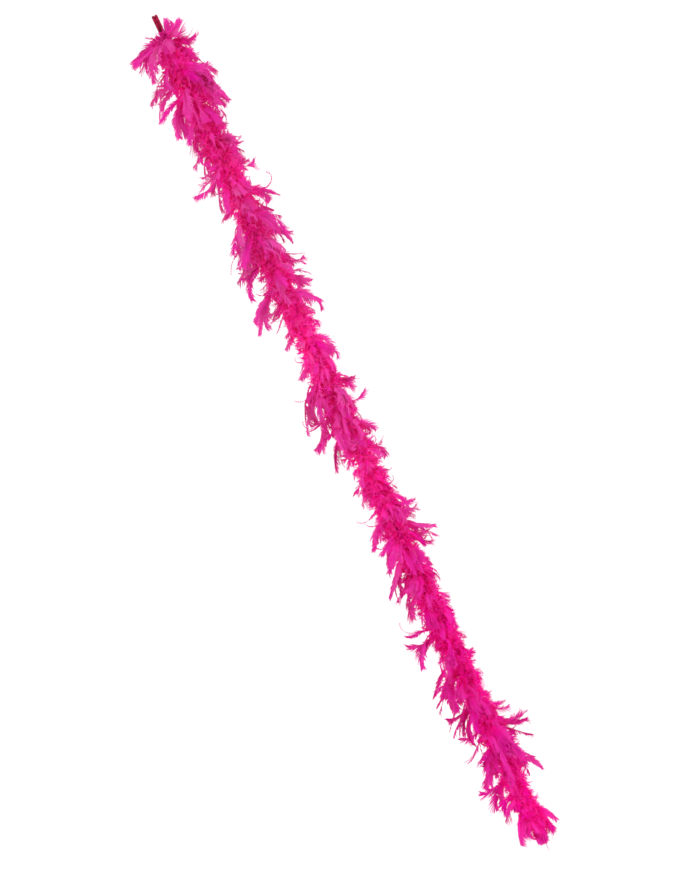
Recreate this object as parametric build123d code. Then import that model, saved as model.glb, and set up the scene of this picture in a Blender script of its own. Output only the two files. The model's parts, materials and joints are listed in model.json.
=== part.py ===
from build123d import *

import os
from math import pi, radians, tan

# A turkey-feather boa that hangs from the loop at its upper end.
# The origin is where a hook bears on the inside of the loop's top, +Z is up and the boa hangs down -Z.
# The hook passes through the loop along X.
# A pair of soft cotton strands is folded over and whipped to make the loop, so the loop is two strands wide.
# Below the whipping the pair is twisted tight into the core, which ends in a knot.
# The feathers are bound round the core.
# The core is cut into equal lengths that hinge at their ends, as the limp cord bends anywhere.

# ---- Driving dimensions, millimetres ----
overall_length = 1800.0        # top of the loop to the lowest feather tip
loop_strand = 5.6              # diameter of one strand in the loop
strand_gap = 0.1               # between the loop's two strands
core_diameter = 8.0            # the two strands twisted tight
pivot_top = -46.0              # first bend, just below the loop's whipping
length_count = 11              # lengths of core between one bend and the next
bend_limit = 75.0              # each bend turns this far either way, degrees
running_gap = 0.3              # between lengths of core at a bend
corner_share = 0.45            # of the shorter run beside a corner, taken up by the corner's arc

whip_top = -32.0               # thread wound round the four legs of the loop's two strands
whip_bottom = -40.0
whip_wall = 0.8
whip_slack = 0.3               # room round the legs
neck_top = -37.0               # where the core begins, between the legs

thread_wall = 0.4              # binding thread wound round the core
thread_height = 3.0
threads_per_length = 6

fluff_radius = 17.0            # downy bases of the feathers, packed round the core
fluff_waist = 15.5             # their radius beside a bend
fluff_gap = 0.8                # clear of a bend, at the core's axis
fluff_clearance = 2.0          # beyond half the bend, degrees

feathers_per_length = 24
golden_angle = 137.508         # turn between one feather and the next, degrees
feather_thickness = 1.0
quill_width = 2.0
quill_gap = 0.2                # between a quill's end and the binding thread
quill_length = 0.24            # bare quill, as a share of the feather's reach
feather_width = 17.0
widest_place = 0.62            # the vane's widest place, as a share of the reach
tip_width = 9.0
tip_length = 0.35              # of the rounded tip, as a share of its width
arch_height = 0.12             # of a feather's arch, as a share of its fall
arch_place = 0.52              # the top of the arch, as a share of the reach
feather_sizes = (1.0, 0.86, 0.93)
reach_top = 78.0               # how far the feathers stand out from the axis, by the loop
reach_bottom = 56.0            # and at the lower end
drop_share = 0.98              # how far a feather hangs below its root, as a share of its reach
bend_margin = 9.0              # no feather is rooted nearer a bend than this

small_width = 12.0             # width of the short feathers at both ends

crown_feathers = 3             # short feathers that stand up beside the loop
crown_reach = 32.0
crown_rise = 40.0
crown_drop = 4.5               # their roots, below the first bend
crown_turn = 40.0              # the first one's direction, degrees

tuft_feathers = 5              # feathers that hang past the knot at the lower end
tuft_reach = 25.0
tuft_fall = 58.0
tuft_turn = 20.0               # the first one's direction, degrees

knot_radius = 9.0
knot_height = 18.0
knot_overlap = 1.0             # how far the knot's round top is cut off by the core's flat end
tail_diameter = 4.6            # one strand's cut end
tail_length = 22.0
tail_spread = 14.0             # each tail's lean from the axis, degrees
tail_start = 4.0               # their upper ends, inside the knot
tail_gap = 0.4                 # between the two tails

# ---- Worked out from them ----
lowest_reach = max(reach_bottom * drop_share, tuft_fall) + feather_thickness
core_bottom = loop_strand - overall_length + lowest_reach - bend_margin
length_pitch = (pivot_top - core_bottom) / length_count

# ---- The centreline of the loop's strands, seen along X: up one leg, over the top, down the other ----
loop_route = [
    (-2.95, -41.0),
    (-2.95, -31.0),
    (-5.2, -17.0),
    (-5.2, -0.25),
    (-2.15, 2.8),
    (2.15, 2.8),
    (5.2, -0.25),
    (5.2, -17.0),
    (2.95, -31.0),
    (2.95, -41.0),
]


def corner_radii(points):
    """Each corner's arc, from the share of its shorter run that it takes up."""
    radii = []
    for before, here, after in zip(points, points[1:], points[2:]):
        run_in = here - before
        run_out = after - here
        half_turn = radians(run_in.get_angle(run_out)) / 2
        radii.append(corner_share * min(run_in.length, run_out.length) / tan(half_turn))
    return radii


def cord_tube(points, diameter, name):
    """A plain cord along straight runs joined by tangent arcs."""
    radii = corner_radii(points)
    path = FilletPolyline(*points, radius=radii)
    tube = sweep(Plane(origin=path @ 0, z_dir=path % 0) * Circle(diameter / 2), path=path)
    expected = pi * diameter**2 / 4 * path.length
    print(name, "radii", [round(r, 1) for r in radii], "length", round(path.length, 1))
    print(name, "volume over section times length", round(tube.volume / expected, 3))
    return tube


def rod(radius, bottom, top):
    """An upright cylinder on the axis."""
    return Pos(0, 0, bottom) * Cylinder(radius, top - bottom, align=(Align.CENTER, Align.CENTER, Align.MIN))


def pivot_z(index):
    """The height of a bend: 0 is the one below the loop, and length_count is the core's lower end."""
    return pivot_top - length_pitch * index


def hanging_loop():
    """The two folded strands side by side, and the neck where their four legs meet the core."""
    loop = rod(core_diameter / 2, pivot_top, neck_top) + Pos(0, 0, pivot_top) * Sphere(core_diameter / 2)
    spread = (loop_strand + strand_gap) / 2
    for x in (-spread, spread):
        points = [Vector(x, y, z) for y, z in loop_route]
        loop += cord_tube(points, loop_strand, "loop")
    return loop


def loop_whipping():
    """Thread wound round all four legs of the loop."""
    leg_y = loop_route[0][0]
    inner_width = 2 * loop_strand + strand_gap + whip_slack
    inner_depth = 2 * abs(leg_y) + loop_strand + whip_slack
    corner = loop_strand / 2
    wall = 2 * whip_wall
    inner = RectangleRounded(inner_width, inner_depth, corner)
    outer = RectangleRounded(inner_width + wall, inner_depth + wall, corner + whip_wall)
    return Pos(0, 0, whip_bottom) * extrude(outer - inner, whip_top - whip_bottom)


def core_cord(index):
    """One length of core, with a round lower end centred on the next bend."""
    radius = core_diameter / 2
    top = pivot_z(index) - radius - running_gap
    bottom = pivot_z(index + 1)
    length = rod(radius, bottom, top)
    if index < length_count - 1:
        length = length + Pos(0, 0, bottom) * Sphere(radius)
    return length


def binding_thread(index):
    """Short bands of thread that tie the quills to one length of core."""
    radius = core_diameter / 2
    band = rod(radius + thread_wall, 0, thread_height) - rod(radius, 0, thread_height)
    spacing = length_pitch / threads_per_length
    top = pivot_z(index) - spacing / 2 - thread_height / 2
    return Compound([Pos(0, 0, top - spacing * n) * band for n in range(threads_per_length)])


def fluff(index):
    """The downy feather bases round one length, coned at both ends to leave room for the bends."""
    slope = tan(radians(bend_limit / 2 + fluff_clearance))
    bore = core_diameter / 2 + thread_wall
    top = pivot_z(index)
    bottom = pivot_z(index + 1)

    def end_depth(radius):
        return fluff_gap + slope * radius

    with BuildSketch(Plane.XZ) as section:
        with BuildLine():
            upper_bore = (bore, top - end_depth(bore))
            upper_edge = (fluff_waist, top - end_depth(fluff_waist))
            lower_edge = (fluff_waist, bottom + end_depth(fluff_waist))
            lower_bore = (bore, bottom + end_depth(bore))
            Line(upper_bore, upper_edge)
            ThreePointArc(upper_edge, (fluff_radius, (top + bottom) / 2), lower_edge)
            Line(lower_edge, lower_bore)
            Line(lower_bore, upper_bore)
        make_face()
    return revolve(section.sketch, axis=Axis.Z)


def feather(reach, fall, width):
    """One feather along +X: a thin blade from a narrow quill to a blunt tip, arched over its length.

    fall is how far the tip is below the root, and is negative for a feather that stands up.
    """
    root = core_diameter / 2 + thread_wall + quill_gap
    arch = arch_height * abs(fall)
    middle = (arch_place * reach, arch - fall / 2)
    with BuildSketch(Plane.XZ) as side:
        with BuildLine():
            ThreePointArc((root, 0), middle, (reach, -fall))
            Line((reach, -fall), (reach, -fall - feather_thickness))
            lower_middle = (middle[0], middle[1] - feather_thickness)
            ThreePointArc((reach, -fall - feather_thickness), lower_middle, (root, -feather_thickness))
            Line((root, -feather_thickness), (root, 0))
        make_face()
    quill = quill_width / 2
    vane = quill_length * reach
    widest = widest_place * reach
    shoulder = reach - tip_length * tip_width
    with BuildSketch(Plane.XY) as plan:
        with BuildLine():
            Line((root, -quill), (root, quill))
            Line((root, quill), (vane, quill))
            ThreePointArc((vane, quill), (widest, width / 2), (shoulder, tip_width / 2))
            ThreePointArc((shoulder, tip_width / 2), (reach, 0), (shoulder, -tip_width / 2))
            ThreePointArc((shoulder, -tip_width / 2), (widest, -width / 2), (vane, -quill))
            Line((vane, -quill), (root, -quill))
        make_face()
    tall = 2 * abs(fall) + 2 * width
    blank = extrude(side.sketch, amount=width, both=True)
    outline = Pos(0, 0, -tall / 2) * extrude(plan.sketch, tall)
    return blank & outline


def feathers(index):
    """One length's feathers, wound down the core at the golden angle so that none meets another."""
    share = index / (length_count - 1)
    reach = reach_top + (reach_bottom - reach_top) * share
    variants = [feather(reach * size, reach * size * drop_share, feather_width) for size in feather_sizes]
    first = pivot_z(index) - bend_margin
    last = pivot_z(index + 1) + bend_margin
    step = (first - last) / (feathers_per_length - 1)
    plumes = []
    for n in range(feathers_per_length):
        turn = golden_angle * (index * feathers_per_length + n)
        plumes.append(Pos(0, 0, first - step * n) * Rot(0, 0, turn) * variants[n % len(variants)])
    return plumes


def crown():
    """Short feathers at the very top that stand up beside the loop."""
    upright = feather(crown_reach, -crown_rise, small_width)
    root = pivot_z(0) - crown_drop
    step = 360 / crown_feathers
    return [Pos(0, 0, root) * Rot(0, 0, crown_turn + step * n) * upright for n in range(crown_feathers)]


def end_tuft():
    """Feathers at the lower end that hang past the knot."""
    hanging = feather(tuft_reach, tuft_fall, small_width)
    root = pivot_z(length_count) + bend_margin
    step = 360 / tuft_feathers
    return [Pos(0, 0, root) * Rot(0, 0, tuft_turn + step * n) * hanging for n in range(tuft_feathers)]


def end_knot():
    """The knot that stops the core's lower end, flat where the core runs into it."""
    ball = scale(Sphere(knot_radius), by=(1, 1, knot_height / (2 * knot_radius)))
    top = pivot_z(length_count)
    knot = Pos(0, 0, top - knot_height / 2 + knot_overlap) * ball
    return knot - rod(2 * knot_radius, top, top + knot_height)


def cord_tails():
    """The cord's two cut ends below the knot."""
    top = pivot_z(length_count) - knot_height + tail_start
    tail = Pos(0, 0, -tail_length) * Cylinder(
        tail_diameter / 2, tail_length, align=(Align.CENTER, Align.CENTER, Align.MIN)
    )
    offset = (tail_diameter + tail_gap) / 2
    return [
        Pos(side * offset, 0, top) * Rot(0, -side * tail_spread, 0) * tail
        for side in (-1, 1)
    ]


def save(node, shape):
    """Writes one node's STEP file."""
    export_step(shape, os.path.join("parts", node + ".step"))


os.makedirs("parts", exist_ok=True)

save("hanging_loop", hanging_loop())
save("loop_whipping", loop_whipping())

for index in range(length_count):
    number = f"{index + 1:02d}"
    plumes = feathers(index)
    if index == 0:
        plumes += crown()
    if index == length_count - 1:
        plumes += end_tuft()
    save("core_cord_" + number, core_cord(index))
    save("binding_thread_" + number, binding_thread(index))
    save("feather_fluff_" + number, fluff(index))
    save("feathers_" + number, Compound(plumes))

save("end_knot", end_knot())
save("cord_tails", Compound(cord_tails()))

print("core lengths of", round(length_pitch, 1), "mm, lower end of the core at", round(core_bottom, 1))
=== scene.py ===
"""A hot pink feather boa, hanging by its loop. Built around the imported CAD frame, in metres."""

import json
import math

import bpy
import numpy as np
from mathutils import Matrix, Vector


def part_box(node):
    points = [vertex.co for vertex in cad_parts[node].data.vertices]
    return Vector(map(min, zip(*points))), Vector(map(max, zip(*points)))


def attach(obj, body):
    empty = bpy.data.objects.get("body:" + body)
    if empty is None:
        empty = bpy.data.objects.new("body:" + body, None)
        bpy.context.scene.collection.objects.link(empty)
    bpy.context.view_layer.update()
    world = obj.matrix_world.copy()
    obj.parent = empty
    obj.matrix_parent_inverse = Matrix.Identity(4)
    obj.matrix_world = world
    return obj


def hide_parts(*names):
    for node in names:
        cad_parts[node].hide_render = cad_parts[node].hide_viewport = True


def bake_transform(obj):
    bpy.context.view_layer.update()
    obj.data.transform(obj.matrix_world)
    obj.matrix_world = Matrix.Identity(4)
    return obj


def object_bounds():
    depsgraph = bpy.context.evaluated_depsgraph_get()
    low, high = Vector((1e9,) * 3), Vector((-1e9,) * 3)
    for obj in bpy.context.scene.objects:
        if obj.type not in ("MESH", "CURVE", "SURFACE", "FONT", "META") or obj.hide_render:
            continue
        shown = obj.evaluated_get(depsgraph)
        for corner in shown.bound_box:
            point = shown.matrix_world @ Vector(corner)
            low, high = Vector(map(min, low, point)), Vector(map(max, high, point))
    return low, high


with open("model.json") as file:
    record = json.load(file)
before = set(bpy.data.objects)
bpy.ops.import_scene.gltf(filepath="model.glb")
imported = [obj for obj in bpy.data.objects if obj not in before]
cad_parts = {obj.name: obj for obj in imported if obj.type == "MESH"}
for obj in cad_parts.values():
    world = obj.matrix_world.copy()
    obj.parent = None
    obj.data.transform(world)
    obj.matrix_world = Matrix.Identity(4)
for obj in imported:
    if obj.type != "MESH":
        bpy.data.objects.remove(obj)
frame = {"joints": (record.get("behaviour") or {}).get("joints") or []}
cad_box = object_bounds()

# ---- Driving values, metres and degrees ----
PICTURE_ROLL = 25.3            # the boa slants across the picture by this much
PICTURE_SHARE = 0.946          # the picture's height over the boa's length
CAMERA_DISTANCE = 4.6
CAMERA_DROP = 0.0063           # below the boa's middle
CAMERA_SIDE = -0.0036          # to one side of it
FLOOR_DROP = 0.34              # from the lowest feather to the floor
FLOOR_RADIUS = 1.15

STRAND = 0.0056                # one of the two strands, in the loop
STRAND_FLUFF = 0.0003          # its soft surface stands out this much farther
STRAND_APART = 0.0058          # between their middles, so that they press together
STRAND_TWIST = 0.010           # one turn of a strand's own plies
CORE = 0.008                   # the two strands twisted tight
CORE_TWIST = 0.022             # one turn of that twist
TAIL = 0.0046                  # a strand's cut end, below the knot
KNOT_STRAND = 0.007            # the cord in the knot
WHIPPING = 0.0009              # thread of the loop's whipping
THREAD = 0.0008                # thread wound round the core
THREAD_PITCH = 0.005           # one turn of it
NECK_TOP = -0.037              # where the core begins, between the loop's legs

TUFTS_PER_ZONE = 13
FEATHERS_PER_TUFT = 5
STRAYS_PER_ZONE = 14
DOWN_PER_ZONE = 220
COVER_PER_ZONE = 110
CROWN_SHORT = 24               # short feathers round the loop's base
CROWN_BRIM = 26                # long ones that spread below them
END_COVER = 12                 # feathers that hang close round the cut tails
END_SHORT = 16                 # short ones that spread round those
FARTHEST = 0.080               # no shaft stands out farther from the core's middle
FARTHEST_BARB = 0.086          # and no barb
BARBS = 30                     # clumps of barbs on each side of a feather's shaft
QUILL_THICK = 0.00085          # a shaft's radius at its root
QUILL_THIN = 0.00018           # and at its tip
FLUFF_RADIUS = 0.012           # the feathers show their own pink, with no painted shade, within this distance of the core
FLUFF_FADE = 0.043             # and the painted darker, more purple shade is full this much farther out
GOLDEN_ANGLE = math.radians(137.508)

LIT_THROUGH = 0.42             # share of a feather's light that comes through from behind
FRONT_PURPLE = 0.3             # share of the painted darker purple that shows in the light reflected from the front
STUDIO_LIGHT = 1.46            # light from all round
BACKDROP = 1.05                # brightness of the white behind the boa
KEY_POWER = 6.0                # watts
FILL_POWER = 4.0

# Heights down the boa, and how far the mass of the feathers stands out there on the -X and the +X side.
SIDES = [
    (-0.06, 0.065, 0.020), (-0.10, 0.020, 0.035), (-0.13, 0.045, 0.025), (-0.175, 0.080, 0.065),
    (-0.22, 0.060, 0.035), (-0.26, 0.040, 0.030), (-0.315, 0.045, 0.080), (-0.345, 0.060, 0.030),
    (-0.41, 0.025, 0.050), (-0.475, 0.045, 0.050), (-0.57, 0.085, 0.040), (-0.64, 0.045, 0.045),
    (-0.67, 0.015, 0.015), (-0.705, 0.025, 0.035), (-0.75, 0.020, 0.030), (-0.82, 0.080, 0.030),
    (-0.94, 0.040, 0.030), (-1.00, 0.025, 0.030), (-1.06, 0.030, 0.035), (-1.15, 0.050, 0.045),
    (-1.27, 0.050, 0.020), (-1.40, 0.065, 0.020), (-1.50, 0.060, 0.010), (-1.56, 0.060, 0.050),
    (-1.60, 0.045, 0.070), (-1.65, 0.060, 0.005), (-1.70, 0.030, 0.010), (-1.76, 0.030, 0.005),
]
# Heights up the boa, and how pale the dye is there on the whole, from 0 to 1: deepest at the lower end.
TONES = [(-1.8, 0.32), (-1.3, 0.34), (-1.15, 0.48), (-0.8, 0.62), (-0.4, 0.66), (0.0, 0.5)]
FULL_SIDE = 0.050              # where the mass stands out to if the feathers are of full length
TIP_DROP = 0.03                # how far the middle of a feather hangs below its root

# The centreline of the loop's strands in Y and Z: up one leg, over the top and down the other.
LOOP_ROUTE = [
    (-0.00295, -0.0410),
    (-0.00295, -0.0310),
    (-0.0052, -0.0170),
    (-0.0052, -0.00025),
    (-0.00215, 0.0028),
    (0.00215, 0.0028),
    (0.0052, -0.00025),
    (0.0052, -0.0170),
    (0.00295, -0.0310),
    (0.00295, -0.0410),
]

joints = frame["joints"]
pivots = [joint["pos_m"][2] for joint in joints]
PITCH = pivots[0] - pivots[1]
CORE_BOTTOM = pivots[-1] - PITCH
LENGTH = cad_box[1][2] - cad_box[0][2]
rng = np.random.default_rng(7)


# ---- Materials ----

def new_material(name):
    """An empty node material with its output."""
    material = bpy.data.materials.new(name)
    material.use_nodes = True
    tree = material.node_tree
    tree.nodes.clear()
    output = tree.nodes.new("ShaderNodeOutputMaterial")
    return material, tree, output


def noise(tree, scale, detail=3.0, distortion=0.0):
    """A noise texture over the object's own space."""
    coords = tree.nodes.new("ShaderNodeTexCoord")
    texture = tree.nodes.new("ShaderNodeTexNoise")
    texture.inputs["Scale"].default_value = scale
    texture.inputs["Detail"].default_value = detail
    texture.inputs["Distortion"].default_value = distortion
    tree.links.new(coords.outputs["Object"], texture.inputs["Vector"])
    return texture.outputs["Fac"]


def attribute(tree, name):
    """A number stored on the mesh's points."""
    node = tree.nodes.new("ShaderNodeAttribute")
    node.attribute_name = name
    return node.outputs["Fac"]


def ramp(tree, value, stops):
    """A colour ramp from (position, colour) pairs."""
    node = tree.nodes.new("ShaderNodeValToRGB")
    elements = node.color_ramp.elements
    while len(elements) < len(stops):
        elements.new(0.5)
    for element, (position, colour) in zip(elements, stops):
        element.position = position
        element.color = (*colour, 1.0)
    tree.links.new(value, node.inputs["Fac"])
    return node.outputs["Color"]


def maths(tree, operation, a, b):
    """One arithmetic step; a and b are sockets or numbers."""
    node = tree.nodes.new("ShaderNodeMath")
    node.operation = operation
    for socket, value in zip(node.inputs, (a, b)):
        if isinstance(value, (int, float)):
            socket.default_value = value
        else:
            tree.links.new(value, socket)
    return node.outputs[0]


def mix_colours(tree, share, a, b):
    """A blend of two colour sockets."""
    node = tree.nodes.new("ShaderNodeMix")
    node.data_type = "RGBA"
    tree.links.new(share, node.inputs[0])
    tree.links.new(a, node.inputs[6])
    tree.links.new(b, node.inputs[7])
    return node.outputs[2]


def bump(tree, height, distance, strength=1.0):
    """A normal from a height."""
    node = tree.nodes.new("ShaderNodeBump")
    node.inputs["Distance"].default_value = distance
    node.inputs["Strength"].default_value = strength
    tree.links.new(height, node.inputs["Height"])
    return node.outputs["Normal"]


def feather_material(name, pinks, painted_light_colours):
    """Dyed feather: thin and lit through, with fine barb streaks and a tone of its own for each feather.

    pinks are the feathers' own colours, and the second list is the colours of their painted light, each
    from the deepest tone to the palest. Toward the outside of the boa and the feathers' ends the colour is
    painted darker and more purple: painted shade that offsets the brighter light on the open feathers, and
    painted white light coming through thin barbs.
    """
    material, tree, output = new_material(name)
    tone = attribute(tree, "tone")
    edge = attribute(tree, "edge")
    patches = noise(tree, 55.0)
    streaks = noise(tree, 900.0, 2.0, 0.4)
    varied = maths(tree, "ADD", maths(tree, "MULTIPLY", tone, 0.62), maths(tree, "MULTIPLY", patches, 0.38))
    streaky = maths(tree, "MULTIPLY", maths(tree, "SUBTRACT", streaks, 0.5), 0.25)
    varied = maths(tree, "ADD", varied, streaky)
    tone_stops = (0.28, 0.50, 0.75)
    inner_colour = ramp(tree, varied, list(zip(tone_stops, pinks)))
    # Painted light: toward the outside and each feather's end the colour turns darker and more purple, as
    # painted shade for the brighter light there and as painted light through thin barbs.
    wear_and_painted_light = ramp(tree, varied, list(zip(tone_stops, painted_light_colours)))
    painted_light_mask = ramp(tree, edge, [(0.25, (0.0, 0.0, 0.0)), (1.0, (0.95, 0.95, 0.95))])
    dyed = mix_colours(tree, maths(tree, "MULTIPLY", painted_light_mask, FRONT_PURPLE), inner_colour, wear_and_painted_light)
    through = mix_colours(tree, painted_light_mask, inner_colour, wear_and_painted_light)
    soft = tree.nodes.new("ShaderNodeBsdfPrincipled")
    soft.inputs["Specular IOR Level"].default_value = 0.12
    soft.inputs["Specular Tint"].default_value = (1.0, 0.15, 0.6, 1.0)
    rough = maths(tree, "ADD", maths(tree, "MULTIPLY", streaks, 0.25), 0.5)
    tree.links.new(rough, soft.inputs["Roughness"])
    tree.links.new(dyed, soft.inputs["Base Color"])
    tree.links.new(bump(tree, streaks, 0.0004, 0.6), soft.inputs["Normal"])
    lit_through = tree.nodes.new("ShaderNodeBsdfTranslucent")
    tree.links.new(through, lit_through.inputs["Color"])
    both = tree.nodes.new("ShaderNodeMixShader")
    both.inputs["Fac"].default_value = LIT_THROUGH
    tree.links.new(soft.outputs[0], both.inputs[1])
    tree.links.new(lit_through.outputs[0], both.inputs[2])
    tree.links.new(both.outputs[0], output.inputs["Surface"])
    return material


def cord_material(name, colours, fibre_scale):
    """Dyed twisted cord or thread: matt fibres with darker flecks."""
    material, tree, output = new_material(name)
    fibres = noise(tree, fibre_scale, 4.0, 1.2)
    flecks = noise(tree, fibre_scale * 0.28, 5.0, 0.6)
    plies = attribute(tree, "tone")
    wear_and_painted_light = maths(tree, "ADD", maths(tree, "MULTIPLY", fibres, 0.4), maths(tree, "MULTIPLY", flecks, 0.6))
    dyed = ramp(tree, wear_and_painted_light, [(0.42, colours[0]), (0.49, colours[1]), (0.66, colours[2])])
    dim = ramp(tree, plies, [(0.0, colours[0]), (1.0, colours[2])])
    shaded = mix_colours(tree, maths(tree, "MULTIPLY", flecks, 0.3), dyed, dim)
    rough = maths(tree, "ADD", maths(tree, "MULTIPLY", fibres, 0.3), 0.6)
    shader = tree.nodes.new("ShaderNodeBsdfPrincipled")
    shader.inputs["Specular IOR Level"].default_value = 0.15
    tree.links.new(shaded, shader.inputs["Base Color"])
    tree.links.new(rough, shader.inputs["Roughness"])
    tree.links.new(bump(tree, fibres, 0.0003), shader.inputs["Normal"])
    tree.links.new(shader.outputs[0], output.inputs["Surface"])
    return material


def floor_material():
    """A plain pale floor with a faint unevenness."""
    material, tree, output = new_material("floor_paint")
    shader = tree.nodes.new("ShaderNodeBsdfPrincipled")
    shader.inputs["Roughness"].default_value = 0.8
    pale = ramp(tree, noise(tree, 3.0), [(0.3, (0.86, 0.86, 0.86)), (0.7, (0.9, 0.9, 0.9))])
    tree.links.new(pale, shader.inputs["Base Color"])
    tree.links.new(shader.outputs[0], output.inputs["Surface"])
    return material


# ---- Mesh building ----

class Patchwork:
    """Gathers points, faces and point values of many small forms into one mesh."""

    def __init__(self):
        self.points = []
        self.faces = []
        self.materials = []
        self.tones = []
        self.light_exposures = []
        self.count = 0

    def add(self, points, faces, tone, edge, material=0):
        """Adds one form: its points, its faces as rows of point numbers, and its point values."""
        points = np.asarray(points, float).reshape(-1, 3)
        self.points.append(points)
        for rows in faces:
            rows = np.asarray(rows, int)
            self.faces += (rows + self.count).tolist()
            self.materials += [material] * len(rows)
        self.tones.append(np.broadcast_to(tone, len(points)))
        self.light_exposures.append(np.broadcast_to(edge, len(points)))
        self.count += len(points)

    def build(self, name, materials):
        """The finished object."""
        mesh = bpy.data.meshes.new(name)
        mesh.from_pydata(np.concatenate(self.points).tolist(), [], self.faces)
        for material in materials:
            mesh.materials.append(material)
        mesh.polygons.foreach_set("material_index", self.materials)
        mesh.polygons.foreach_set("use_smooth", [True] * len(mesh.polygons))
        # the second point value is the mask of the feathers' painted shade and light
        for key, values in (("tone", self.tones), ("edge", self.light_exposures)):
            layer = mesh.attributes.new(key, "FLOAT", "POINT")
            layer.data.foreach_set("value", np.concatenate(values).astype(np.float32))
        mesh.update()
        piece = bpy.data.objects.new(name, mesh)
        bpy.context.scene.collection.objects.link(piece)
        return piece


def unit(v):
    """Rows of v at length one."""
    return v / np.maximum(np.linalg.norm(v, axis=-1, keepdims=True), 1e-12)


def smooth_line(route, name):
    """Points along the NURBS curve that the route's points control."""
    curve = bpy.data.curves.new(name, "CURVE")
    curve.dimensions = "3D"
    curve.resolution_u = 12
    spline = curve.splines.new("NURBS")
    spline.points.add(len(route) - 1)
    for point, place in zip(spline.points, route):
        point.co = (*place, 1.0)
    spline.order_u = 3
    spline.use_endpoint_u = True
    holder = bpy.data.objects.new(name, curve)
    mesh = bpy.data.meshes.new_from_object(holder)
    line = np.array([v.co for v in mesh.vertices], float)
    bpy.data.meshes.remove(mesh)
    bpy.data.objects.remove(holder)
    bpy.data.curves.remove(curve)
    return line


def resampled(line, step):
    """The line again, with points about step apart, and the distance along to each."""
    along = np.concatenate([[0.0], np.cumsum(np.linalg.norm(np.diff(line, axis=0), axis=1))])
    at = np.linspace(0.0, along[-1], max(2, math.ceil(along[-1] / step) + 1))
    return np.stack([np.interp(at, along, line[:, k]) for k in range(3)], axis=1), at


def frames_along(line):
    """Two directions across the line at each point, that don't spin along it."""
    tangents = unit(np.gradient(line, axis=0))
    first = np.zeros_like(line)
    across = np.cross(tangents[0], (0.0, 1.0, 0.0))
    if np.linalg.norm(across) < 0.1:
        across = np.cross(tangents[0], (1.0, 0.0, 0.0))
    across = across / np.linalg.norm(across)
    for i, tangent in enumerate(tangents):
        across = across - tangent * (across @ tangent)
        across = across / np.linalg.norm(across)
        first[i] = across
    return first, np.cross(tangents, first)


def add_tube(work, line, radii, sides, tone, material=0):
    """A tube with closed ends round a line. radii is one number, or one for each point."""
    line = np.asarray(line, float)
    radii = np.broadcast_to(radii, len(line))
    first, second = frames_along(line)
    turn = np.arange(sides) * 2 * math.pi / sides
    ring = np.cos(turn)[None, :, None] * first[:, None] + np.sin(turn)[None, :, None] * second[:, None]
    points = (line[:, None] + ring * radii[:, None, None]).reshape(-1, 3)
    rows = np.arange(len(line) - 1)[:, None] * sides
    here = np.arange(sides)[None]
    after = (here + 1) % sides
    quads = np.stack([rows + here, rows + after, rows + sides + after, rows + sides + here], axis=-1)
    start = len(points)
    ends = np.stack([line[0], line[-1]])
    last = (len(line) - 1) * sides
    cap_a = [(start, (k + 1) % sides, k) for k in range(sides)]
    cap_b = [(start + 1, last + k, last + (k + 1) % sides) for k in range(sides)]
    work.add(np.concatenate([points, ends]), [quads.reshape(-1, 4), cap_a + cap_b], tone, 0.0, material)


def add_plies(work, line, radius, plies, twist, phase=0.0, sides=8):
    """A cord of twisted plies that fills the given radius about the line."""
    points, along = resampled(line, twist / 12)
    first, second = frames_along(points)
    ply = radius * (0.62 if plies == 2 else 0.52)
    offset = radius * 1.06 - ply
    for k in range(plies):
        turn = phase + along * 2 * math.pi / twist + k * 2 * math.pi / plies
        centre = points + (np.cos(turn)[:, None] * first + np.sin(turn)[:, None] * second) * offset
        add_tube(work, centre, ply, sides, 0.25 + 0.5 * k / plies)


# ---- Feathers ----

def shaft_line(root, azimuth, length, angles, swirl, hook=0.0, stations=14):
    """A feather's shaft from its root. angles are its lean from straight down at root and tip, in degrees.

    swirl turns it sideways along its length, and hook bends the last of it up or down, in radians.
    """
    share = np.linspace(0.0, 1.0, stations)
    lean = np.radians(angles[1] + (angles[0] - angles[1]) * (1 - share) ** 1.5) + hook * share**3
    turn = azimuth + swirl * share**1.5
    step = np.stack([np.sin(lean) * np.cos(turn), np.sin(lean) * np.sin(turn), -np.cos(lean)], axis=1)
    middle = (step[1:] + step[:-1]) / 2 * length / (stations - 1)
    return np.concatenate([[root], root + np.cumsum(middle, axis=0)])


def standing_out(points):
    """How far clear of the core each point is, from 0 beside it to 1 at the feathers' ends: the mask of
    their painted shade and light.
    """
    nearest = np.clip(points[:, 2], CORE_BOTTOM, pivots[0] - 0.03)
    away = np.sqrt(points[:, 0] ** 2 + points[:, 1] ** 2 + (points[:, 2] - nearest) ** 2)
    return np.clip((away - FLUFF_RADIUS) / FLUFF_FADE, 0, 1)


def half_width(share, kind):
    """Half the vane's width at each share of the shaft, 0 to 1."""
    swell = np.clip((share - 0.02) / 0.38, 0, 1) ** 0.7
    if kind == "blunt":
        return swell * np.interp(share, [0, 0.45, 0.8, 1.0], [1.0, 1.0, 0.84, 0.7])
    if kind == "pointed":
        return swell * np.clip((1.02 - share) / 0.5, 0.05, 1) ** 0.8
    return 0.5 * np.clip(share / 0.2, 0, 1) * np.clip((1.05 - share) / 0.6, 0.1, 1)


def wander(places, size, waves):
    """A smooth random wobble along a feather."""
    phase = rng.random(2) * 2 * math.pi
    first = np.sin(places * 2 * math.pi * waves + phase[0])
    return size * (0.65 * first + 0.35 * np.sin(places * 2 * math.pi * waves * 2.3 + phase[1]))


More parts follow.
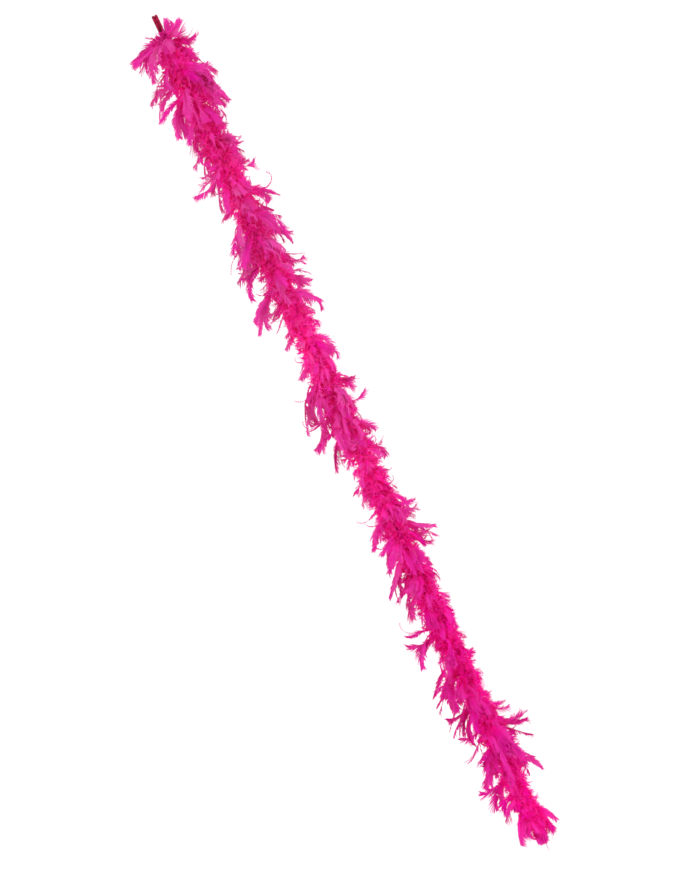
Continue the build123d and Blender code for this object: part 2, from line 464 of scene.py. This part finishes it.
def add_vane(work, shaft, width, kind, roll, tone, barbs, looseness, cup):
    """Both sides of a feather's vane: clumps of barbs that overlap like shingles, with splits between."""
    length = np.linalg.norm(np.diff(shaft, axis=0), axis=1).sum()
    tangents = unit(np.gradient(shaft, axis=0))
    outward = unit(shaft * [1.0, 1.0, 0.0] + 1e-9)
    face = unit(np.cross(np.cross(tangents, outward), tangents) + 1e-9)
    start = 0.06 + 0.05 * rng.random()
    share = np.linspace(start, 0.985, barbs)
    at = np.linspace(0.0, 1.0, len(shaft))
    here = np.stack([np.interp(share, at, shaft[:, k]) for k in range(3)], axis=1)
    along = unit(np.stack([np.interp(share, at, tangents[:, k]) for k in range(3)], axis=1))
    facing = unit(np.stack([np.interp(share, at, face[:, k]) for k in range(3)], axis=1))
    spin = roll + rng.normal(0, 0.8 * looseness) * (share - 0.3) + wander(share, 0.25 * looseness, 1.0)
    beside = np.cross(along, facing)
    up = facing * np.cos(spin)[:, None] - beside * np.sin(spin)[:, None]
    aside = beside * np.cos(spin)[:, None] + facing * np.sin(spin)[:, None]
    downy = np.clip((0.34 - share) / 0.24, 0, 1)
    spacing = length * (share[1] - share[0])
    left = (1 - share) * length
    ends = np.array([0.0, 0.45, 0.82])
    for side in (-1.0, 1.0):
        across = aside * side
        splits = np.zeros(barbs)
        for place in rng.integers(2, barbs, rng.integers(1, 5)):
            splits[place:] += rng.normal() * 0.2 * looseness
            splits[place:] *= 0.7
        angle = np.radians(np.interp(share, [0, 0.3, 0.75, 1.0], [68, 52, 42, 16]))
        angle = np.clip(angle + splits + rng.normal(0, 0.06 * looseness, barbs), 0.1, 1.4)
        half = half_width(share, kind) * width / 2
        half = half * (1 + wander(share, 0.2 * looseness, 1.6) + rng.normal(0, 0.1 * looseness, barbs))
        reach = np.maximum(half, 0.0006) / np.maximum(np.sin(angle), 0.42)
        if kind == "blunt":
            overhang = 0.0028 + 0.0012 * rng.random(barbs)
            reach = np.minimum(half / np.sin(angle), (left + overhang) / np.cos(angle))
        reach = np.maximum(reach, 0.0008) + downy * 0.008 * rng.random(barbs)
        kept = rng.random(barbs) > 0.03 * looseness
        thick = spacing * np.maximum(np.sin(angle), 0.5) * (0.72 - 0.2 * downy)
        droop = cup + wander(share, 0.3 * looseness, 1.3) + rng.normal(0, 0.1 * looseness, barbs)
        droop = droop + downy * rng.normal(0, 0.9, barbs)
        u = ends[None, :, None]
        forward = np.cos(angle)[:, None, None] * u + 0.2 * u**2
        sideways = np.sin(angle)[:, None, None] * u * (1 - 0.12 * u)
        sink = -droop[:, None, None] * u**2
        spine = here[:, None] + reach[:, None, None] * (
            along[:, None] * forward + across[:, None] * sideways + up[:, None] * sink
        )
        tip = here + reach[:, None] * (
            along * (np.cos(angle) + 0.26)[:, None]
            + across * (np.sin(angle) * 0.9)[:, None]
            - up * (droop * 1.1)[:, None]
        )
        lateral = along * np.sin(angle)[:, None] - across * np.cos(angle)[:, None] + up * 0.2
        taper = np.array([1.0, 1.0, 0.7])[None, :, None]
        offset = lateral[:, None] * thick[:, None, None] * taper
        points = np.stack([spine - offset, spine + offset], axis=2).reshape(barbs, 6, 3)
        points = np.concatenate([points, tip[:, None]], axis=1)[kept]
        rows = np.arange(len(points))[:, None] * 7
        quads = np.concatenate([rows + [0, 1, 3, 2], rows + [2, 3, 5, 4]])
        triangles = rows + [4, 5, 6]
        points = points.reshape(-1, 3)
        spread = np.hypot(points[:, 0], points[:, 1])
        points[:, :2] *= np.minimum(1, FARTHEST_BARB / np.maximum(spread, FARTHEST))[:, None]
        # mask of the painted shade and light: larger away from the core and toward each feather's end
        painted_light_mask = standing_out(points) + 0.4 * np.repeat(share[kept], 7) ** 2
        work.add(points, [quads, triangles], tone, np.minimum(painted_light_mask, 1))


def add_feather(work, root, azimuth, length, width, angles, kind="blunt", looseness=1.0, roll=0.0,
                swirl=0.0, hook=0.0, barbs=BARBS, tone=None):
    """One whole feather: a tapering shaft and its vane. Its tone is random unless given."""
    if tone is None:
        tone = float(np.clip(rng.normal(np.interp(root[2], *zip(*TONES)), 0.13), 0.0, 1.0))
    shaft = shaft_line(root, azimuth, length, angles, swirl, hook)
    spread = np.hypot(shaft[:, 0], shaft[:, 1]).max()
    if spread > FARTHEST:
        shaft = root + (shaft - root) * FARTHEST / spread
    taper = np.linspace(QUILL_THICK, QUILL_THIN, len(shaft))
    add_tube(work, shaft, taper, 3, tone, material=1)
    add_vane(work, shaft, width, kind, roll, tone, barbs, looseness, 0.3 + 0.2 * rng.normal())


def fullness(z, azimuth):
    """The size, as a share of full length, of a feather rooted at this height and pointing this way."""
    heights, left, right = zip(*SIDES[::-1])
    minus_x = np.interp(z - TIP_DROP, heights, left)
    plus_x = np.interp(z - TIP_DROP, heights, right)
    toward = (1 + math.cos(azimuth)) / 2
    return float(minus_x + (plus_x - minus_x) * toward) / FULL_SIDE


def zone_span(zone):
    """The heights that a zone's feathers are rooted between: half a length either side of its bend."""
    upper = pivots[0] - 0.003 if zone == 0 else pivots[0] - (zone - 0.5) * PITCH
    lower = max(pivots[0] - (zone + 0.5) * PITCH, CORE_BOTTOM)
    return upper, lower


def core_point(azimuth, z):
    """A place on the core's surface."""
    return np.array([math.cos(azimuth) * CORE / 2, math.sin(azimuth) * CORE / 2, z])


def add_plume(work, z, azimuth, size, rise, swirl, hook):
    """One of the long feathers: blunt, pointed, or a bare wisp."""
    draw = rng.random()
    if draw < 0.55:
        kind, width, length = "blunt", rng.uniform(0.013, 0.024), rng.uniform(0.068, 0.09)
    elif draw < 0.8:
        kind, width, length = "pointed", rng.uniform(0.011, 0.019), rng.uniform(0.072, 0.094)
    else:
        kind, width, length = "wisp", rng.uniform(0.006, 0.013), rng.uniform(0.066, 0.1)
    wild = kind == "wisp"
    angles = (rng.uniform(66, 104) + rise, rng.normal(36, 24 if wild else 10) + rise)
    add_feather(
        work, core_point(azimuth, z), azimuth, length * size, width * (0.7 + 0.3 * size), angles, kind,
        looseness=1.6 if wild else 1.1,
        roll=rng.normal() * 0.6,
        swirl=swirl + rng.normal() * 0.2,
        hook=hook + rng.normal() * (2.4 if wild else 0.5),
        barbs=BARBS * 3 // 4 if wild else BARBS,
    )


def add_zone_feathers(work, zone):
    """The long feathers of one zone: small tufts in a loose spiral down the core, and strays between."""
    upper, lower = zone_span(zone)
    share = (upper - lower) / PITCH
    tufts = round(TUFTS_PER_ZONE * share)
    for n in range(tufts):
        z = upper + (lower - upper) * (n + rng.random()) / tufts
        azimuth = GOLDEN_ANGLE * (zone * TUFTS_PER_ZONE + n) + rng.normal() * 0.3
        size = fullness(z, azimuth) * rng.uniform(0.85, 1.18)
        rise, swirl, hook = rng.normal() * 11, rng.normal() * 0.5, rng.normal() * 0.6
        for _ in range(FEATHERS_PER_TUFT):
            beside = azimuth + rng.normal() * 0.2
            place = z + rng.normal() * 0.004
            add_plume(work, place, beside, size * rng.uniform(0.8, 1.12), rise, swirl, hook)
    for _ in range(round(STRAYS_PER_ZONE * share)):
        z = rng.uniform(lower, upper)
        azimuth = rng.uniform(0, 2 * math.pi)
        size = fullness(z, azimuth) * rng.uniform(0.7, 1.4)
        add_plume(work, z, azimuth, size, rng.normal() * 14, rng.normal() * 0.6, rng.normal() * 0.6)


def add_zone_down(work, zone):
    """Short downy feathers that fill the middle of one zone."""
    upper, lower = zone_span(zone)
    count = round(DOWN_PER_ZONE * (upper - lower) / PITCH)
    for n in range(count):
        z = upper + (lower - upper) * (n + rng.random()) / count
        azimuth = rng.random() * 2 * math.pi
        length = rng.uniform(0.014, 0.034) * (0.6 + 0.4 * fullness(z, azimuth))
        angles = (rng.uniform(70, 115), rng.uniform(30, 90))
        add_feather(
            work, core_point(azimuth, z), azimuth, length, rng.uniform(0.014, 0.023), angles, looseness=1.7,
            roll=rng.normal() * 0.9, swirl=rng.normal() * 0.8, hook=rng.normal() * 0.8, barbs=12,
        )


def add_zone_cover(work, zone):
    """Small downy feathers that lie close along the core and hide it."""
    upper, lower = zone_span(zone)
    count = round(COVER_PER_ZONE * (upper - lower) / PITCH)
    for n in range(count):
        z = upper + (lower - upper) * (n + rng.random()) / count
        azimuth = GOLDEN_ANGLE * n + rng.normal() * 0.3
        angles = (rng.uniform(30, 60), rng.uniform(0, 40))
        length = rng.uniform(0.013, 0.022)
        add_feather(
            work, core_point(azimuth, z), azimuth, length, rng.uniform(0.012, 0.018), angles,
            looseness=0.8, roll=rng.normal() * 0.3, barbs=7,
        )


def add_crown(work):
    """The feathers at the very top: two blunt ones beside the loop, short ones round it, and a brim."""
    root = pivots[0] - 0.002
    for azimuth, length, root_lean, tip_lean, width in (
        (0.25, 0.040, 150, 164, 0.016),
        (-0.2, 0.044, 124, 118, 0.017),
    ):
        angles = (root_lean, tip_lean)
        place = core_point(azimuth, root)
        add_feather(work, place, azimuth, length, width, angles, "blunt", 0.35, roll=1.45, tone=0.5)
    for n in range(CROWN_SHORT):
        azimuth = GOLDEN_ANGLE * n
        z = root + rng.uniform(-0.004, 0.006)
        add_feather(
            work, core_point(azimuth, z), azimuth, rng.uniform(0.018, 0.034), rng.uniform(0.01, 0.018),
            (rng.uniform(105, 142), rng.uniform(60, 115)), "blunt", 1.6,
            roll=rng.normal() * 0.6, swirl=rng.normal() * 0.5, hook=rng.normal() * 0.4, barbs=14,
        )
    for n in range(CROWN_BRIM):
        azimuth = GOLDEN_ANGLE * n
        azimuth = azimuth + 0.4 * math.sin(azimuth)
        z = root - rng.uniform(0.0, 0.012)
        length = rng.uniform(0.062, 0.08) * (0.92 - 0.32 * math.cos(azimuth))
        add_feather(
            work, core_point(azimuth, z), azimuth, length, rng.uniform(0.016, 0.026),
            (rng.uniform(88, 112), rng.uniform(30, 66)), "blunt" if n % 6 else "wisp", 1.1,
            roll=rng.normal() * 0.6, swirl=rng.normal() * 0.3, hook=rng.normal() * 0.5,
        )


def add_end_tuft(work):
    """The feathers that hang past the knot: broad blunt ones, a thin one, and short ones over the tails."""
    for azimuth, above, length, root_lean, tip_lean, width, kind in (
        (3.1, 0.045, 0.083, 42, 20, 0.023, "blunt"),
        (-0.1, 0.050, 0.080, 24, 10, 0.017, "blunt"),
        (-0.2, 0.040, 0.062, 52, 28, 0.018, "blunt"),
        (-1.3, 0.015, 0.046, 16, 8, 0.019, "blunt"),
        (1.6, 0.015, 0.044, 18, 6, 0.017, "blunt"),
        (-1.5, 0.030, 0.089, 16, 4, 0.008, "pointed"),
    ):
        root = core_point(azimuth, CORE_BOTTOM + above)
        add_feather(work, root, azimuth, length, width, (root_lean, tip_lean), kind, 0.4, roll=1.2)
    for n in range(END_COVER):
        azimuth = GOLDEN_ANGLE * n
        root = core_point(azimuth, CORE_BOTTOM + 0.004)
        angles = (rng.uniform(16, 30), rng.uniform(-4, 6))
        add_feather(
            work, root, azimuth, rng.uniform(0.036, 0.045), 0.015, angles,
            looseness=0.8, roll=rng.normal() * 0.3, barbs=18,
        )
    for n in range(END_SHORT):
        azimuth = GOLDEN_ANGLE * n
        root = core_point(azimuth, CORE_BOTTOM + 0.02 * rng.random())
        kind = "wisp" if n % 5 == 4 else "blunt"
        length = rng.uniform(0.03, 0.044)
        angles = (rng.uniform(40, 75), rng.uniform(4, 30))
        add_feather(
            work, root, azimuth, length, rng.uniform(0.012, 0.019), angles, kind,
            roll=rng.normal() * 0.5, swirl=rng.normal() * 0.4, hook=rng.normal() * 0.3,
        )


# ---- Placing the zones, the last on its body ----

def bind(piece, zone):
    """Bakes a zone's piece's placing into its points, and gives it back.

    The last zone rides on the last length.
    """
    if zone == len(joints):
        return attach(piece, joints[-1]["child"])
    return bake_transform(piece)


# ---- Camera ----

def add_camera():
    """Straight on, and rolled so that the hanging boa slants across the picture."""
    centre = (Vector(cad_box[0]) + Vector(cad_box[1])) / 2
    data = bpy.data.cameras.new("camera")
    data.sensor_fit = "VERTICAL"
    data.sensor_height = 36.0
    data.lens = data.sensor_height * CAMERA_DISTANCE / (PICTURE_SHARE * LENGTH)
    data.clip_end = 50.0
    camera = bpy.data.objects.new("camera", data)
    camera.location = (CAMERA_SIDE, -CAMERA_DISTANCE, centre.z - CAMERA_DROP)
    camera.rotation_euler = (math.radians(90), math.radians(PICTURE_ROLL), 0.0)
    bpy.context.scene.collection.objects.link(camera)
    bpy.context.scene.camera = camera


add_camera()

# ---- Cord ----

crimson = cord_material(
    "cord_dye",
    colours=[(0.02, 0.001, 0.004), (0.36, 0.004, 0.045), (0.50, 0.01, 0.08)],
    fibre_scale=900.0,
)
thread_red = cord_material(
    "thread_dye",
    colours=[(0.08, 0.003, 0.02), (0.38, 0.008, 0.07), (0.5, 0.02, 0.11)],
    fibre_scale=1500.0,
)


def make_loop():
    """The hanging loop: the pair of strands folded over side by side, each one a cord of its own."""
    for name, x in (("left", -STRAND_APART / 2), ("right", STRAND_APART / 2)):
        line = smooth_line([(x, y, z) for y, z in LOOP_ROUTE], "loop_line")
        work = Patchwork()
        add_plies(work, line, STRAND / 2 + STRAND_FLUFF, 3, STRAND_TWIST)
        piece = work.build("loop_strand_" + name, [crimson])
        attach(piece, "loop")
        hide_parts("hanging_loop")


def make_whipping():
    """Thread wound round the four legs of the loop."""
    low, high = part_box("loop_whipping")
    turns = round((high.z - low.z) / WHIPPING)
    turn = np.linspace(0, turns * 2 * math.pi, turns * 32)
    reach_x = (high.x - low.x - WHIPPING) / 2
    reach_y = (high.y - low.y - WHIPPING) / 2
    squareness = (np.abs(np.cos(turn)) ** 3 + np.abs(np.sin(turn)) ** 3) ** (-1 / 3)
    z = np.linspace(low.z + WHIPPING / 2, high.z - WHIPPING / 2, len(turn))
    x = np.cos(turn) * squareness * reach_x
    y = np.sin(turn) * squareness * reach_y
    winding = np.stack([x, y, z], axis=1)
    work = Patchwork()
    add_tube(work, winding, WHIPPING / 2, 7, 0.5)
    piece = work.build("whipping_thread", [thread_red])
    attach(piece, "loop")
    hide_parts("loop_whipping")


def make_core(zone):
    """One zone of the core, its two strands twisted tight, with the binding thread wound round it."""
    upper, lower = zone_span(zone)
    top = NECK_TOP if zone == 0 else upper
    work = Patchwork()
    line = np.array([(0.0, 0.0, top), (0.0, 0.0, lower)])
    add_plies(work, line, CORE / 2, 2, CORE_TWIST, phase=-top * 2 * math.pi / CORE_TWIST)
    core = work.build(f"twisted_core_{zone + 1:02d}", [crimson])
    wound = np.linspace(upper, lower, round((upper - lower) / THREAD_PITCH * 12))
    turn = -wound * 2 * math.pi / THREAD_PITCH
    radius = (CORE + THREAD) / 2
    binding = Patchwork()
    helix = np.stack([np.cos(turn) * radius, np.sin(turn) * radius, wound], axis=1)
    add_tube(binding, helix, THREAD / 2, 3, 0.5)
    thread = binding.build(f"wound_thread_{zone + 1:02d}", [thread_red])
    bind(core, zone)
    bind(thread, zone)
    if zone < len(joints):
        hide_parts(f"core_cord_{zone + 1:02d}")
        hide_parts(f"binding_thread_{zone + 1:02d}")


def make_knot():
    """An overhand knot at the core's lower end, and the two strands' cut ends below it."""
    low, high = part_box("end_knot")
    middle = np.array((low + high) / 2)
    turn = np.linspace(0, 2 * math.pi, 120)
    thick = KNOT_STRAND / 2
    reach = (high.x - low.x) / 2 - thick
    rise = (high.z - low.z) / 2 - thick
    knotted = np.stack([
        (np.sin(turn) + 2 * np.sin(2 * turn)) / 3 * reach,
        -np.sin(3 * turn) * reach * 0.6,
        (np.cos(turn) - 2 * np.cos(2 * turn)) / 3 * rise,
    ], axis=1) + middle
    work = Patchwork()
    add_tube(work, knotted, thick, 12, 0.5)
    knot = work.build("tied_knot", [crimson])
    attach(knot, joints[-1]["child"])
    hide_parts("end_knot")
    low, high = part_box("cord_tails")
    tails = Patchwork()
    for side in (-1, 1):
        route = [
            (side * 0.0026, 0.0, high.z - 0.001),
            (side * 0.0045, 0.001, high.z - 0.008),
            (side * 0.0062, -0.001, low.z + 0.007),
            (side * 0.0075, 0.0, low.z + 0.001),
        ]
        add_plies(tails, smooth_line(route, "tail_line"), TAIL / 2, 2, STRAND_TWIST)
    piece = tails.build("cut_tails", [crimson])
    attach(piece, joints[-1]["child"])
    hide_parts("cord_tails")


make_loop()
make_whipping()
for zone in range(len(joints) + 1):
    make_core(zone)
make_knot()

# ---- Feathers ----

# Each feather material's first list is its own pink; the second is the darker, more purple painted shade
# and light for the open outer feathers.
pink = feather_material(
    "dyed_feather",
    pinks=[(0.96, 0.003, 0.45), (0.985, 0.029, 0.51), (0.985, 0.09, 0.52)],
    painted_light_colours=[(0.50, 0.014, 0.22), (0.54, 0.055, 0.235), (0.50, 0.115, 0.245)],
)
quill = feather_material(
    "dyed_quill",
    pinks=[(0.84, 0.002, 0.29), (0.90, 0.012, 0.35), (0.92, 0.03, 0.39)],
    painted_light_colours=[(0.40, 0.015, 0.20), (0.44, 0.02, 0.22), (0.48, 0.03, 0.24)],
)
downy = feather_material(
    "dyed_down",
    pinks=[(0.96, 0.003, 0.46), (0.985, 0.029, 0.52), (0.985, 0.08, 0.53)],
    painted_light_colours=[(0.48, 0.02, 0.22), (0.54, 0.055, 0.24), (0.50, 0.09, 0.25)],
)

for zone in range(len(joints) + 1):
    plumes = Patchwork()
    add_zone_feathers(plumes, zone)
    if zone == 0:
        add_crown(plumes)
    if zone == len(joints):
        add_end_tuft(plumes)
    fluff = Patchwork()
    add_zone_down(fluff, zone)
    add_zone_cover(fluff, zone)
    plume_piece = bind(plumes.build(f"plumes_{zone + 1:02d}", [pink, quill]), zone)
    fluff_piece = bind(fluff.build(f"down_{zone + 1:02d}", [downy, quill]), zone)
    if zone < len(joints):
        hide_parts(f"feathers_{zone + 1:02d}")
        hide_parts(f"feather_fluff_{zone + 1:02d}")


# ---- Floor and light ----

def add_floor():
    """A plain pale disc under the boa."""
    z = cad_box[0][2] - FLOOR_DROP
    turn = np.linspace(0, 2 * math.pi, 64, endpoint=False)
    rim = np.stack([np.cos(turn) * FLOOR_RADIUS, np.sin(turn) * FLOOR_RADIUS, np.full(64, z)], axis=1)
    mesh = bpy.data.meshes.new("floor")
    mesh.from_pydata(rim.tolist(), [], [list(range(64))])
    mesh.materials.append(floor_material())
    floor = bpy.data.objects.new("floor", mesh)
    bpy.context.scene.collection.objects.link(floor)


def add_lamp(name, place, target, size, power):
    """A large soft lamp aimed at a point."""
    data = bpy.data.lights.new(name, "AREA")
    data.shape = "SQUARE"
    data.size = size
    data.energy = power
    lamp = bpy.data.objects.new(name, data)
    lamp.location = place
    lamp.rotation_euler = (Vector(target) - Vector(place)).to_track_quat("-Z", "Y").to_euler()
    bpy.context.scene.collection.objects.link(lamp)


def add_surroundings():
    """A white studio: soft even light from all round, and a plain white backdrop."""
    world = bpy.data.worlds.new("studio")
    world.use_nodes = True
    tree = world.node_tree
    tree.nodes.clear()
    output = tree.nodes.new("ShaderNodeOutputWorld")
    light = tree.nodes.new("ShaderNodeBackground")
    light.inputs["Color"].default_value = (1.0, 1.0, 1.0, 1.0)
    light.inputs["Strength"].default_value = STUDIO_LIGHT
    backdrop = tree.nodes.new("ShaderNodeBackground")
    backdrop.inputs["Color"].default_value = (1.0, 1.0, 1.0, 1.0)
    backdrop.inputs["Strength"].default_value = BACKDROP
    path = tree.nodes.new("ShaderNodeLightPath")
    both = tree.nodes.new("ShaderNodeMixShader")
    tree.links.new(path.outputs["Is Camera Ray"], both.inputs[0])
    tree.links.new(light.outputs[0], both.inputs[1])
    tree.links.new(backdrop.outputs[0], both.inputs[2])
    tree.links.new(both.outputs[0], output.inputs["Surface"])
    bpy.context.scene.world = world


add_floor()
add_surroundings()
middle = (0.0, 0.0, (cad_box[0][2] + cad_box[1][2]) / 2)
add_lamp("key", (-1.6, -2.8, 0.9), middle, 2.2, KEY_POWER)
add_lamp("fill", (2.2, -2.4, -0.6), middle, 2.4, FILL_POWER)
bpy.context.scene.view_settings.view_transform = "Standard"
bpy.context.scene.cycles.max_bounces = 20
bpy.context.scene.cycles.diffuse_bounces = 16
